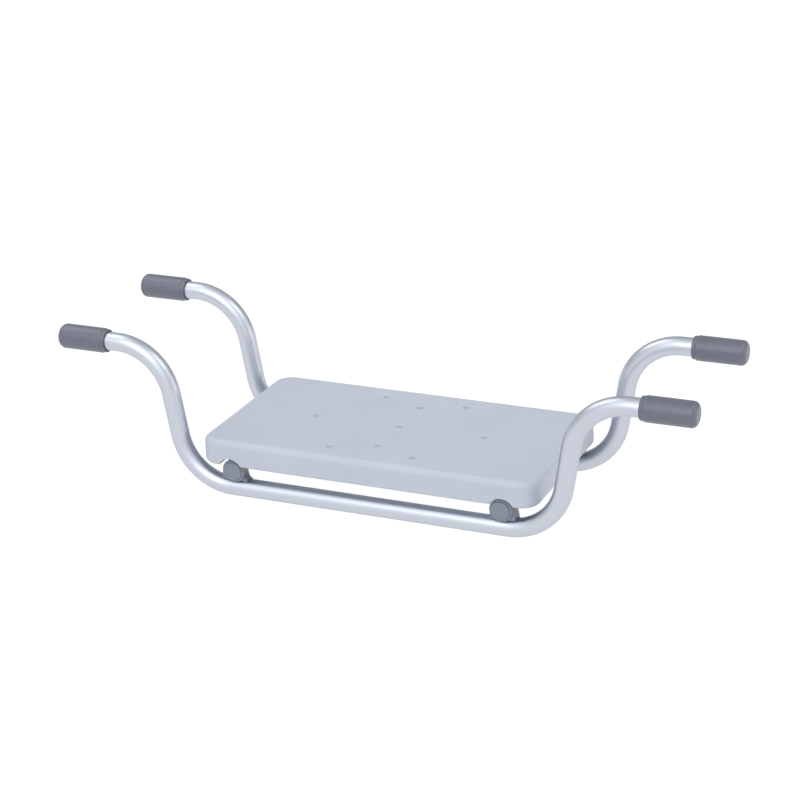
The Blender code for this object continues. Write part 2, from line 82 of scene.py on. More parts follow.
DRAIN_LEAN = math.radians(35)
DRAIN_MOUTH_DEPTH = (DRAIN_RADIUS - DRAIN_THROAT_RADIUS) / math.tan(DRAIN_LEAN)
# How far below the top, and above the bottom, the painted shade inside the drains and channels starts
DRAIN_PAINTED_SHADE_DEPTH = 0.0008
DRAIN_AT_SIDE = 0.1017
DRAIN_AT_END = 0.0585
DRAIN_AT_CORNER = (0.0493, 0.0771)
NOTCH_RADIUS = 0.0155
NOTCH_X = 0.1605
NOTCH_INNER_Y = 0.081
VENT_RADIUS = 0.0015
VENT_Y = 0.03
VENT_DEPTH = 0.006
SHANK_RADIUS = 0.0025
HOLE_RADIUS = 0.0028
HEAD_RADIUS = 0.00475
HEAD_HEIGHT = 0.00275
HEAD_TOP_RADIUS = 0.0024
HEAD_SIDE_HEIGHT = 0.0008
HEAD_EDGE = 0.00015
SOCKET_RADIUS = 0.00173
SOCKET_DEPTH = 0.0016
SOCKET_CHAMFER = 0.0002
SOCKET_CONE = 0.0004
SHANK_TIP = (0.0005, 0.0006)  # how far it narrows, over what length
FRAME_BOLT_LENGTH = 0.028
SEAT_SCREW_LENGTH = 0.030
SEAT_SCREW_Y = 0.055
WASHER_RADIUS = 0.006
WASHER_THICKNESS = 0.001
INSERT_RADIUS = 0.004
INSERT_LENGTH = 0.012
INSERT_SPARE = 0.003
INSERT_Z = CROSS_Z + CROSS_RADIUS + 2 * GAP
NUT_HEAD_RADIUS = 0.004
NUT_HEAD_HEIGHT = 0.0006
NUT_BODY_RADIUS = 0.0034
NUT_BULGE_RADIUS = 0.0045
NUT_HOLE_RADIUS = NUT_BODY_RADIUS + GAP
NUT_BULGE_TOP = 0.003
NUT_BULGE_HEIGHT = 0.0024
NUT_LENGTH = 0.0115

# Round edges
TUBE_EDGE = 0.0003
GRIP_EDGE = 0.0004
CAP_EDGE = 0.00025
NUT_EDGE = 0.0002
WASHER_EDGE = 0.00015
INSERT_EDGE = 0.0003
DRAIN_MOUTH_RIM = 0.001
DRAIN_FOOT_RIM = 0.0009
NOTCH_RIM = 0.0012

# How finely the shapes are made
ROUND_SIDES = 96
CHANNEL_SIDES = 80
TUBE_SIDES = 72
SMALL_SIDES = 48
DRAIN_SIDES = 40
HOLE_SIDES = 32
BEND_STEPS = 28
EDGE_STEPS = 4
GRIP_TIP_STEPS = 14
SADDLE_STATIONS = 22
FLANK_STEPS = 12
ARM_STEPS = 16
CRADLE_STEPS = 56
SOLE_STEPS = 8
HEAD_STEPS = 10
SEAT_CORNER_STEPS = 20
SEAT_SECTION_STEPS = 12
FLARE_STEPS = 7
FLARE_END_ANGLE = math.radians(84)  # short of level, so that each cutter crosses the face cleanly
SHARP_ANGLE = math.radians(32)
FLAT_WEIGHT = 80  # how strongly a large face sets the normals at its edges

# Cutters
CUTTER_MARGIN = 0.01  # past the seat's top and bottom
CUTTER_END_Y = 0.15  # past the seat's front and back

# Colours, linear. Each material drifts between its two tones.
ALUMINIUM_TONES = (0.545, 0.552, 0.630), (0.520, 0.570, 0.612)
ALUMINIUM_EDGE_TINT = (0.78, 0.79, 0.82)
SEAT_TONES = (0.408, 0.438, 0.498), (0.428, 0.458, 0.518)
# A darker tone painted on the inner walls of the drains and channels, as their shade
DRAIN_PAINTED_SHADE_TONE = (0.388, 0.416, 0.474)
GRIP_TONES = (0.078, 0.089, 0.120), (0.089, 0.100, 0.131)
NYLON_TONES = (0.155, 0.172, 0.220), (0.171, 0.189, 0.238)
STEEL_TONES = (0.52, 0.52, 0.53), (0.62, 0.62, 0.63)
BRASS_TONES = (0.68, 0.50, 0.22), (0.78, 0.58, 0.27)
FLOOR_TONES = (0.14, 0.14, 0.14), (0.15, 0.15, 0.15)
FLOOR_GLOW_TONE = (1.0, 1.0, 1.0)
FLOOR_GLOW = 0.93
NOISE_MIDDLE = (0.3, 0.7)  # where most of a noise's values lie

# The studio. Each soft box has the way towards it, its distance, its width and height, and its power.
FLOOR_HALF = 9.0
FLOOR_DROP = 0.0002  # below the frame tubes
SOFT_BOXES = {
    "overhead_right": ((0.9, 0.1, 1.1), 2.6, (1.6, 1.6), 11),
    "overhead_left": ((-0.9, 0.1, 1.1), 2.6, (1.6, 1.6), 11),
    "right": ((1.0, 0.15, 0.12), 2.4, (2.0, 1.4), 8),
}
DOME_TINT = (0.96, 0.975, 1.0)
DOME_PEAK = (0.0, -0.788, 0.616)  # the direction of the dome's brightest place
DOME = (  # its brightness over the cosine of the angle from there
    (-1.0, 0.6),
    (-0.3, 0.65),
    (0.09, 0.71),
    (0.38, 0.8),
    (0.6, 0.95),
    (0.79, 1.22),
    (0.91, 1.62),
    (0.97, 2.7),
    (1.0, 4.0),
)

# The camera, in radians and metres, with its lens and sensor in millimetres. Its shift is sideways and up.
CAMERA_AZIMUTH = 0.4216312
CAMERA_ELEVATION = 0.3765442
CAMERA_ROLL = -0.0339780
CAMERA_DISTANCE = 2.481289
CAMERA_SHIFT = (-0.0012130, 0.0816530)
CAMERA_LENS = 99.34
CAMERA_SENSOR = 36.0
AIM_Z = RUN_Z + 0.0009

SIDES = (("left", -1), ("right", 1))
ENDS = (("front", -1), ("rear", 1))
UP = Vector((0, 0, 1))


# ---------------------------------------------------------------- shapes


def mesh_of_rings(name, rings, closed, places=None):
    """Skins a row of rings of points.

    places gives each point its position on the straightened-out piece, for the materials.
    """
    shape = bmesh.new()
    loops = [[shape.verts.new(point) for point in ring] for ring in rings]
    pairs = list(zip(loops, loops[1:]))
    if closed:
        pairs.append((loops[-1], loops[0]))
    for first, second in pairs:
        count = max(len(first), len(second))
        for i in range(count):
            j = (i + 1) % count
            corners = [first[i % len(first)], first[j % len(first)]]
            corners += [second[j % len(second)], second[i % len(second)]]
            shape.faces.new(list(dict.fromkeys(corners)))
    if not closed:
        for loop in (loops[0], loops[-1]):
            if len(loop) > 2:
                shape.faces.new(loop)
    shape.verts.index_update()
    bmesh.ops.recalc_face_normals(shape, faces=shape.faces)
    mesh = bpy.data.meshes.new(name)
    shape.to_mesh(mesh)
    shape.free()
    if places:
        flat = [place for ring in places for place in ring]
        attribute = mesh.attributes.new("straight", "FLOAT_VECTOR", "CORNER")
        for loop in mesh.loops:
            attribute.data[loop.index].vector = flat[loop.vertex_index]
    smooth(mesh)
    return mesh


def smooth(mesh):
    """Smooth shading, except across sharp edges."""
    mesh.shade_smooth()
    mesh.set_sharp_from_angle(angle=SHARP_ANGLE)


def arc(center, radius, start, end, steps):
    """Points (across, up) along an arc about center, with the angles in degrees."""
    points = []
    for i in range(steps + 1):
        angle = math.radians(start + (end - start) * i / steps)
        points.append((center[0] + radius * math.cos(angle), center[1] + radius * math.sin(angle)))
    return points


def hexagon_factor(angle):
    """A hexagon's radius in direction angle, for a corner radius of 1."""
    return math.cos(math.pi / 6) / math.cos(angle % (math.pi / 3) - math.pi / 6)


def turned_mesh(name, outline, sides=ROUND_SIDES, closed=False):
    """Turns an outline of (radius, height) about Z. A third value of True makes that ring a hexagon."""
    rings = []
    for radius, height, *hexagon in outline:
        if radius == 0:
            rings.append([(0, 0, height)])
            continue
        ring = []
        for i in range(sides):
            angle = 2 * math.pi * i / sides
            reach = radius * (hexagon_factor(angle) if hexagon else 1)
            ring.append((reach * math.cos(angle), reach * math.sin(angle), height))
        rings.append(ring)
    return mesh_of_rings(name, rings, closed, rings)


def rounded(outline, radius):
    """The outline with each corner listed as (r, z, size) replaced by a fillet of size times radius."""
    result = []
    count = len(outline)
    for i, (r, z, *size) in enumerate(outline):
        if not size:
            result.append((r, z))
            continue
        here = Vector((r, z))
        before = Vector(outline[i - 1][:2]) - here
        after = Vector(outline[(i + 1) % count][:2]) - here
        reach = size[0] * radius
        start = here + before.normalized() * reach
        end = here + after.normalized() * reach
        for k in range(EDGE_STEPS + 1):
            t = k / EDGE_STEPS
            point = start * (1 - t) ** 2 + here * 2 * t * (1 - t) + end * t * t
            result.append((point.x, point.y))
    return result


def mesh_object(name, mesh, material, location=(0, 0, 0), axis=UP):
    """An object whose local +Z points along axis."""
    obj = bpy.data.objects.new(name, mesh)
    bpy.context.scene.collection.objects.link(obj)
    turn = UP.rotation_difference(Vector(axis)).to_matrix().to_4x4()
    obj.matrix_world = Matrix.Translation(location) @ turn
    if material and not mesh.materials:
        mesh.materials.append(material)
    return obj


def cutter(name, outline, start, axis, sides=SMALL_SIDES):
    """A turned shape for a Boolean, from an outline of (radius, height along axis)."""
    return mesh_object(name, turned_mesh(name, outline, sides), None, start, axis)


def plain_cutter(name, radius, start, end, sides=SMALL_SIDES):
    """A round bar from start to end, for a Boolean."""
    start = Vector(start)
    along = Vector(end) - start
    outline = [(0, 0), (radius, 0), (radius, along.length), (0, along.length)]
    return cutter(name, outline, start, along, sides)


def carve(obj, tools):
    """Cuts the tools from obj for good, and removes them."""
    for tool in tools:
        modifier = obj.modifiers.new("cut", "BOOLEAN")
        modifier.operation = "DIFFERENCE"
        modifier.solver = "EXACT"
        modifier.object = tool
    bpy.context.view_layer.update()
    graph = bpy.context.evaluated_depsgraph_get()
    mesh = bpy.data.meshes.new_from_object(obj.evaluated_get(graph), depsgraph=graph)
    obj.modifiers.clear()
    obj.data = mesh
    for tool in tools:
        bpy.data.objects.remove(tool, do_unlink=True)
    smooth(mesh)


def keep_flats_flat(obj):
    """Weights the normals by face size, so that no shade creeps from the round edges onto the flats."""
    modifier = obj.modifiers.new("normals", "WEIGHTED_NORMAL")
    modifier.keep_sharp = True
    modifier.weight = FLAT_WEIGHT


# ---------------------------------------------------------------- materials


def color(red, green, blue):
    return (red, green, blue, 1.0)


class Tree:
    """A material's nodes, with short ways to add and join them."""

    def __init__(self, name):
        self.material = bpy.data.materials.new(name)
        self.material.use_nodes = True
        self.tree = self.material.node_tree
        self.shader = self.tree.nodes["Principled BSDF"]

    def add(self, kind, inputs=None, **settings):
        node = self.tree.nodes.new("ShaderNode" + kind)
        for key, value in settings.items():
            setattr(node, key, value)
        for key, value in (inputs or {}).items():
            self.put(node.inputs[key], value)
        return node

    def put(self, socket, value):
        if isinstance(value, bpy.types.NodeSocket):
            self.tree.links.new(value, socket)
        else:
            socket.default_value = value

    def math(self, operation, a, b=0.0):
        return self.add("Math", {0: a, 1: b}, operation=operation).outputs[0]

    def mix(self, factor, a, b):
        node = self.add("Mix", data_type="RGBA")
        self.put(node.inputs["Factor"], factor)
        colors = [socket for socket in node.inputs if socket.type == "RGBA"]
        self.put(colors[0], a)
        self.put(colors[1], b)
        return next(socket for socket in node.outputs if socket.type == "RGBA")

    def noise(self, vector, scale, detail=3.0, roughness=0.55):
        inputs = {"Vector": vector, "Scale": scale, "Detail": detail, "Roughness": roughness}
        return self.add("TexNoise", inputs).outputs[0]

    def spread(self, value, low, high, within=NOISE_MIDDLE):
        """Runs from low to high as value crosses the range within."""
        inputs = {0: value, 1: within[0], 2: within[1], 3: low, 4: high}
        return self.add("MapRange", inputs).outputs[0]

    def drift(self, noise, tones):
        """A colour that drifts between two tones."""
        first, second = tones
        return self.mix(self.spread(noise, 0.0, 1.0), color(*first), color(*second))

    def bump(self, height, distance, strength, normal=None):
        inputs = {"Height": height, "Distance": distance, "Strength": strength}
        if normal:
            inputs["Normal"] = normal
        return self.add("Bump", inputs).outputs[0]

    def stretched(self, vector, scale):
        return self.add("Mapping", {"Vector": vector, "Scale": scale}).outputs[0]

    def set(self, **sockets):
        for key, value in sockets.items():
            self.put(self.shader.inputs[key.replace("_", " ")], value)


def aluminium():
    """Satin anodised tube: fine die lines along the tube, and a slight change of tone along it."""
    t = Tree("satin_anodised_aluminium")
    place = t.add("Attribute", attribute_name="straight").outputs["Vector"]
    lines = t.noise(t.stretched(place, (6.0, 900.0, 900.0)), scale=1.0, detail=4.0, roughness=0.6)
    cloud = t.noise(t.stretched(place, (9.0, 60.0, 60.0)), scale=1.0, detail=2.0)
    grain = t.noise(place, scale=5200.0, detail=2.0)
    t.set(Base_Color=t.drift(cloud, ALUMINIUM_TONES))
    t.set(Metallic=1.0, Specular_Tint=color(*ALUMINIUM_EDGE_TINT))
    lined = t.spread(lines, 0.29, 0.37, within=(0.25, 0.75))
    t.set(Roughness=t.math("ADD", lined, t.spread(grain, -0.015, 0.015, within=(0.2, 0.8))))
    along = t.bump(lines, distance=0.000006, strength=0.5)
    t.set(Normal=t.bump(grain, distance=0.000004, strength=0.5, normal=along))
    return t.material


def seat_plastic():
    """Pale blue-grey board: satin grain, faint clouding, and painted shade inside its drains and channels."""
    t = Tree("seat_moulded_polypropylene")
    place = t.add("TexCoord").outputs["Object"]
    cloud = t.noise(place, scale=14.0)
    grain = t.noise(place, scale=1500.0, roughness=0.6)
    speck = t.noise(place, scale=420.0, detail=2.0)
    x, y, z = t.add("SeparateXYZ", {"Vector": place}).outputs
    # Painted shade: the board's inner walls, below its top and above its bottom, take a darker tone in its
    # drains and channels
    in_x = t.math("LESS_THAN", t.math("ABSOLUTE", x), SEAT_HALF_X - SEAT_CORNER)
    in_y = t.math("LESS_THAN", t.math("ABSOLUTE", y), SEAT_HALF_Y - SEAT_CORNER)
    above = t.math("GREATER_THAN", z, SEAT_BOTTOM + DRAIN_PAINTED_SHADE_DEPTH)
    below = t.spread(z, 1.0, 0.0, within=(SEAT_TOP - DRAIN_PAINTED_SHADE_DEPTH, SEAT_TOP))
    drain = t.math("MULTIPLY", t.math("MULTIPLY", in_x, in_y), t.math("MULTIPLY", above, below))
    t.set(Base_Color=t.mix(drain, t.drift(cloud, SEAT_TONES), color(*DRAIN_PAINTED_SHADE_TONE)))
    t.set(Roughness=t.math("ADD", t.spread(speck, 0.40, 0.48), t.spread(grain, -0.02, 0.02)))
    waves = t.bump(cloud, distance=0.0003, strength=0.10)
    t.set(Normal=t.bump(grain, distance=0.00002, strength=0.35, normal=waves))
    t.set(IOR=1.49, Subsurface_Weight=0.6, Subsurface_Scale=0.006, Subsurface_Radius=(1.0, 1.0, 1.0))
    return t.material


def grip_vinyl():
    """Soft dipped vinyl: mid grey, matt, with a slight uneven skin."""
    t = Tree("grip_soft_vinyl")
    place = t.add("Attribute", attribute_name="straight").outputs["Vector"]
    cloud = t.noise(place, scale=90.0)
    grain = t.noise(place, scale=2400.0, roughness=0.6)
    t.set(Base_Color=t.drift(cloud, GRIP_TONES))
    t.set(Roughness=t.spread(grain, 0.32, 0.41))
    waves = t.bump(cloud, distance=0.0002, strength=0.2)
    t.set(Normal=t.bump(grain, distance=0.00002, strength=0.5, normal=waves))
    t.set(IOR=1.68)
    return t.material


def nylon():
    """Moulded nylon of the caps and saddles."""
    t = Tree("cap_moulded_nylon")
    place = t.add("Attribute", attribute_name="straight").outputs["Vector"]
    cloud = t.noise(place, scale=120.0)
    grain = t.noise(place, scale=3000.0, roughness=0.6)
    t.set(Base_Color=t.drift(cloud, NYLON_TONES))
    t.set(Roughness=t.spread(grain, 0.38, 0.48))
    t.set(Normal=t.bump(grain, distance=0.00002, strength=0.4))
    t.set(IOR=1.53)
    return t.material


def turned_metal(name, tones, smoothest, roughest):
    """Stainless or brass with fine turning marks about the piece's own axis."""
    t = Tree(name)
    place = t.add("Attribute", attribute_name="straight").outputs["Vector"]
    x, y, z = t.add("SeparateXYZ", {"Vector": place}).outputs
    reach = t.math("SQRT", t.math("ADD", t.math("MULTIPLY", x, x), t.math("MULTIPLY", y, y)))
    rings = t.noise(t.add("CombineXYZ", {0: reach, 1: z}).outputs[0], scale=5000.0, detail=2.0)
    cloud = t.noise(place, scale=300.0)
    t.set(Base_Color=t.drift(cloud, tones), Metallic=1.0)
    t.set(Roughness=t.spread(rings, smoothest, roughest))
    t.set(Normal=t.bump(rings, distance=0.000005, strength=0.5))
    return t.material


def pale_floor():
    """A white table lit from inside, as for catalogue pictures."""
    t = Tree("floor")
    place = t.add("TexCoord").outputs["Object"]
    t.set(Base_Color=t.drift(t.noise(place, scale=3.0, detail=2.0), FLOOR_TONES))
    t.set(Roughness=0.9, Specular_IOR_Level=0.0)
    t.set(Emission_Color=color(*FLOOR_GLOW_TONE), Emission_Strength=FLOOR_GLOW)
    return t.material


# ---------------------------------------------------------------- pieces


def arm_stations():
    """Where the rings of a tube's right half lie: (x, height above the run's middle, slope, way along it)."""
    stations = []
    way = RUN_HALF_LENGTH
    for i in range(1, BEND_STEPS):
        x = RUN_HALF_LENGTH * i / BEND_STEPS
        stations.append((x, 0, 0, x))
    for i in range(BEND_STEPS + 1):
        slope = BEND_ANGLE * i / BEND_STEPS
        x = RUN_HALF_LENGTH + BEND_RADIUS * math.sin(slope)
        stations.append((x, BEND_RADIUS * (1 - math.cos(slope)), slope, way + BEND_RADIUS * slope))
    way += BEND_RADIUS * BEND_ANGLE + SLOPE_LENGTH
    for i in range(BEND_STEPS + 1):
        slope = BEND_ANGLE * (1 - i / BEND_STEPS)
        x = ARM_START_X - BEND_RADIUS * math.sin(slope)
        height = RISE - BEND_RADIUS * (1 - math.cos(slope))
        stations.append((x, height, slope, way + BEND_RADIUS * (BEND_ANGLE - slope)))
    way += BEND_RADIUS * BEND_ANGLE
    end = HALF_LENGTH - GRIP_END_WALL - GAP
    stations.append((end, RISE, 0, way + end - ARM_START_X))
    return stations


def bent_ring(station, radius):
    """A ring of the tube's surface at a station, and its points' places on the straightened tube."""
    x, height, slope, way = station
    up = Vector((-math.sin(slope), 0, math.cos(slope)))
    ring, places = [], []
    for i in range(TUBE_SIDES):
        angle = 2 * math.pi * i / TUBE_SIDES
        out = math.cos(angle) * up + math.sin(angle) * Vector((0, 1, 0))
        ring.append(Vector((x, 0, height)) + radius * out)
        places.append((way, radius * math.cos(angle), radius * math.sin(angle)))
    return ring, places


def frame_tube(name, y, material):
    """A bent tube with open ends and the two rivet nuts' holes in its top."""
    right = arm_stations()
    left = [(-x, height, -slope, -way) for x, height, slope, way in reversed(right)]
    path = left + [(0, 0, 0, 0)] + right
    both = [bent_ring(station, TUBE_RADIUS) for station in path]
    both += [bent_ring(station, TUBE_RADIUS - TUBE_WALL) for station in reversed(path)]
    mesh = mesh_of_rings(name, [ring for ring, _ in both], True, [places for _, places in both])
    tube = mesh_object(name, mesh, material, (0, y, RUN_Z))
    tools = []
    for side, sign in SIDES:
        start = (sign * CROSS_X, y, RUN_Z)
        end = (sign * CROSS_X, y, RUN_Z + 2 * TUBE_RADIUS)
        tools.append(plain_cutter(f"hole_{side}", NUT_HOLE_RADIUS, start, end))
    carve(tube, tools)
    return tube


def cross_tube(name, x, material):
    """A straight open tube, drilled through for its two frame bolts and two seat screws."""
    length = 2 * CROSS_HALF_LENGTH
    bore = CROSS_RADIUS - TUBE_WALL
    outline = [(CROSS_RADIUS, 0, 1), (CROSS_RADIUS, length, 1), (bore, length, 1), (bore, 0, 1)]
    mesh = turned_mesh(name, rounded(outline, TUBE_EDGE), closed=True)
    for item in mesh.attributes["straight"].data:
        across, depth, along = item.vector
        item.vector = (along, across, depth)  # the aluminium's die lines run along the first axis
    tube = mesh_object(name, mesh, material, (x, -CROSS_HALF_LENGTH, CROSS_Z), (0, 1, 0))
    tools = []
    for i, y in enumerate((-TUBE_Y, -SEAT_SCREW_Y, SEAT_SCREW_Y, TUBE_Y)):
        start = (x, y, CROSS_Z - 2 * CROSS_RADIUS)
        end = (x, y, CROSS_Z + 2 * CROSS_RADIUS)
        tools.append(plain_cutter(f"hole_{i}", HOLE_RADIUS, start, end, HOLE_SIDES))
    carve(tube, tools)
    return tube


def grip_mesh(material):
    """Local Z runs from the open mouth to the closed tip."""
    bore = TUBE_RADIUS + GAP
    tip = (GRIP_RADIUS - GRIP_TIP_ROUNDING, GRIP_LENGTH - GRIP_TIP_ROUNDING)
    outline = [(0, GRIP_LENGTH)]
    outline += arc(tip, GRIP_TIP_ROUNDING, 90, 0, GRIP_TIP_STEPS)
    lip = [
        (GRIP_RADIUS, GRIP_LIP_LENGTH + GRIP_LIP_SLOPE, 1),
        (GRIP_RADIUS - GRIP_LIP_DROP, GRIP_LIP_LENGTH, 1),
        (GRIP_RADIUS - GRIP_LIP_DROP, 0, 3),
        (bore, 0, 1),
    ]
    body = rounded([(GRIP_RADIUS, GRIP_LENGTH / 2), *lip, (bore, GRIP_LENGTH - GRIP_END_WALL)], GRIP_EDGE)
    outline += body[1:] + [(0, GRIP_LENGTH - GRIP_END_WALL)]
    mesh = turned_mesh("grip", outline)
    mesh.materials.append(material)
    return mesh


def cap_mesh(material):
    """Local Z runs from the end of the plug to the flange's face."""
    back = PLUG_LENGTH + GAP
    face = back + CAP_FLANGE
    plug = CROSS_RADIUS - TUBE_WALL - GAP
    top = face + CAP_FACE_RAISE
    outline = [(0, top), (CAP_FACE_RADIUS, top, 2), (CAP_FACE_RADIUS, face, 1)]
    outline += [(CAP_RADIUS - CAP_CHAMFER, face, 2), (CAP_RADIUS, face - CAP_CHAMFER, 2)]
    outline += [(CAP_RADIUS, back, 2), (plug, back, 1), (plug, 0, 3)]
    outline += [(plug - PLUG_WALL, 0, 1), (plug - PLUG_WALL, back), (0, back)]
    mesh = turned_mesh("cap", rounded(outline, CAP_EDGE))
    mesh.materials.append(material)
    return mesh


def end_cap(name, mesh, x, out):
    """A cap with its bolt hole, scalloped underneath where it clears the frame tube."""
    inner_y = CAP_FACE_Y - CAP_FLANGE - GAP - PLUG_LENGTH
    cap = mesh_object(name, mesh.copy(), None, (x, out * inner_y, CROSS_Z), (0, out, 0))
    start = (x, out * TUBE_Y, CROSS_Z - CROSS_RADIUS)
    end = (x, out * TUBE_Y, CROSS_Z + CROSS_RADIUS)
    tools = [plain_cutter("hole", HOLE_RADIUS, start, end, HOLE_SIDES)]
    start = (x - 2 * CAP_RADIUS, out * TUBE_Y, RUN_Z)
    end = (x + 2 * CAP_RADIUS, out * TUBE_Y, RUN_Z)
    tools.append(plain_cutter("scallop", SADDLE_SEAT_RADIUS, start, end, ROUND_SIDES))
    carve(cap, tools)
    return cap


def frame_surface(outwards, offset, radius):
    """Height above the run's middle of the top of a shell of that radius about the frame tube."""
    into_bend = max(0, CROSS_X + outwards - RUN_HALF_LENGTH)
    from_center = BEND_RADIUS - math.sqrt(radius**2 - offset**2)
    return BEND_RADIUS - math.sqrt(from_center**2 - into_bend**2)


def saddle_flank(sign, offset):
    """One side of the saddle's section, from its foot to the top of its arm, as (outwards, height)."""
    foot = sign * SADDLE_HALF_LENGTH
    lip = frame_surface(foot, offset, SADDLE_LIP_RADIUS)
    middle = CROSS_Z - RUN_Z
    radius = SADDLE_ARM_RADII[sign]
    low = ARM_LOW_ANGLES[sign]
    arm = Vector((sign * radius * math.cos(low), middle + radius * math.sin(low)))
    start = Vector((foot, lip))
    bend = (start + arm) / 2 if sign > 0 else Vector((-WAIST_X, lip + WAIST_ABOVE_LIP))
    points = [(foot, frame_surface(foot, offset, SADDLE_SEAT_RADIUS))]
    for i in range(FLANK_STEPS):
        way = i / FLANK_STEPS
        point = start * (1 - way) ** 2 + bend * 2 * way * (1 - way) + arm * way**2
        points.append((point.x, point.y))
    for i in range(ARM_STEPS + 1):
        angle = low + (ARM_TOP_ANGLE - low) * i / ARM_STEPS
        points.append((sign * radius * math.cos(angle), middle + radius * math.sin(angle)))
    return points


def saddle_outline(offset):
    """The saddle's section at offset from the frame tube's middle, as (outwards, height)."""
    top = math.degrees(ARM_TOP_ANGLE)
    middle = (0, CROSS_Z - RUN_Z)
    cradle = arc(middle, SADDLE_CRADLE_RADIUS, top, -180 - top, CRADLE_STEPS)
    sole = []
    for i in range(1, 2 * SOLE_STEPS):
        u = SADDLE_HALF_LENGTH * (i / SOLE_STEPS - 1)
        sole.append((u, frame_surface(u, offset, SADDLE_SEAT_RADIUS)))
    return saddle_flank(1, offset) + cradle + saddle_flank(-1, offset)[::-1] + sole


def saddle_mesh(hand, material):
    """The saddle's sections from its inner to its outer face. hand is 1 or -1, for the two mirror shapes."""
    inner = SADDLE_INNER_Y - TUBE_Y
    outer = SADDLE_OUTER_Y - TUBE_Y
    rings = []
    for i in range(SADDLE_STATIONS):
        offset = inner + (outer - inner) * i / (SADDLE_STATIONS - 1)
        rings.append([(hand * u, offset, z) for u, z in saddle_outline(offset)])
    mesh = mesh_of_rings("saddle", rings, False, rings)
    mesh.materials.append(material)
    return mesh


def saddle(name, mesh, x, out):
    """A saddle in its place, with the bolt's hole and a pocket for the rivet nut's head."""
    obj = mesh_object(name, mesh.copy(), None, (x, out * TUBE_Y, RUN_Z))
    if out < 0:
        obj.rotation_euler = (0, 0, math.pi)  # so that its outer face is at the front
    start = (x, out * TUBE_Y, RUN_Z)
    hole_end = (x, out * TUBE_Y, CROSS_Z)
    pocket_end = (x, out * TUBE_Y, RUN_Z + TUBE_RADIUS + 2 * GAP + NUT_HEAD_HEIGHT)
    tools = [plain_cutter("hole", HOLE_RADIUS, start, hole_end, HOLE_SIDES)]
    tools.append(plain_cutter("pocket", NUT_HEAD_RADIUS + GAP, start, pocket_end, HOLE_SIDES))
    carve(obj, tools)
    return obj


def fastener_mesh(name, length, material):
    """A button head on local Z = 0 with a hexagon socket, and a shank that runs down."""
    floor = HEAD_HEIGHT - SOCKET_DEPTH
    outline = [(0, floor - SOCKET_CONE), (SOCKET_RADIUS, floor, True)]
    outline += [(SOCKET_RADIUS, HEAD_HEIGHT - SOCKET_CHAMFER, True)]
    outline += [(SOCKET_RADIUS + SOCKET_CHAMFER, HEAD_HEIGHT)]
    for across, up in arc((0, 0), 1, 90, 0, HEAD_STEPS):
        radius = HEAD_TOP_RADIUS + across * (HEAD_RADIUS - HEAD_TOP_RADIUS)
        outline.append((radius, HEAD_SIDE_HEIGHT + up * (HEAD_HEIGHT - HEAD_SIDE_HEIGHT)))
    outline += [(HEAD_RADIUS, HEAD_EDGE), (HEAD_RADIUS - HEAD_EDGE, 0), (SHANK_RADIUS, 0)]
    outline += [(SHANK_RADIUS, SHANK_TIP[1] - length), (SHANK_RADIUS - SHANK_TIP[0], -length), (0, -length)]
    mesh = turned_mesh(name, outline)
    mesh.materials.append(material)
    return mesh


def rivet_nut_mesh(material):
    """Local Z = 0 is the top of the frame tube."""
    head = GAP + NUT_HEAD_HEIGHT
    bulge = -NUT_BULGE_TOP - NUT_BULGE_HEIGHT / 2
    outline = [(HOLE_RADIUS, head), (NUT_HEAD_RADIUS, head, 1), (NUT_HEAD_RADIUS, GAP, 1)]
    outline += [(NUT_BODY_RADIUS, GAP), (NUT_BODY_RADIUS, -NUT_BULGE_TOP, 2), (NUT_BULGE_RADIUS, bulge, 3)]
    outline += [(NUT_BODY_RADIUS, -NUT_BULGE_TOP - NUT_BULGE_HEIGHT, 2)]
    outline += [(NUT_BODY_RADIUS, head - NUT_LENGTH, 1), (HOLE_RADIUS, head - NUT_LENGTH)]
    mesh = turned_mesh("rivet_nut", rounded(outline, NUT_EDGE), SMALL_SIDES, closed=True)
    mesh.materials.append(material)
    return mesh


def sleeve_mesh(name, outer, bore, length, material, edge):
    """A washer or a threaded insert: a ring that runs up from local Z = 0."""
    outline = [(outer, 0, 1), (outer, length, 1), (bore, length, 1), (bore, 0, 1)]
    mesh = turned_mesh(name, rounded(outline, edge), closed=True)
    mesh.materials.append(material)
    return mesh


def rounded_rectangle(shift, height):
    """The seat's outline moved outwards by shift."""
    ring = []
    for quarter, (sign_x, sign_y) in enumerate(((1, 1), (-1, 1), (-1, -1), (1, -1))):
        center = (sign_x * (SEAT_HALF_X - SEAT_CORNER), sign_y * (SEAT_HALF_Y - SEAT_CORNER))
        turn = 90 * quarter
        for x, y in arc(center, SEAT_CORNER + shift, turn, turn + 90, SEAT_CORNER_STEPS):
            ring.append((x, y, height))
    return ring


def board_mesh():
    """The seat's plain board, round at its corners and edges."""
    low = (-SEAT_BOTTOM_ROUNDING, SEAT_BOTTOM + SEAT_BOTTOM_ROUNDING)
    high = (-SEAT_TOP_ROUNDING, SEAT_TOP - SEAT_TOP_ROUNDING)
    edge = arc(low, SEAT_BOTTOM_ROUNDING, -90, 0, SEAT_SECTION_STEPS)
    edge += arc(high, SEAT_TOP_ROUNDING, 0, 90, SEAT_SECTION_STEPS)
    rings = [rounded_rectangle(shift, height) for shift, height in edge]
    return mesh_of_rings("seat_board", rings, False)


def drains():
    """Where the drain holes are, as (x, y)."""
    places = [(0, 0)]
    for sign in (-1, 1):
        places += [(sign * DRAIN_AT_SIDE, 0), (0, sign * DRAIN_AT_END)]
        places += [(side * DRAIN_AT_CORNER[0], sign * DRAIN_AT_CORNER[1]) for side in (-1, 1)]
    return places


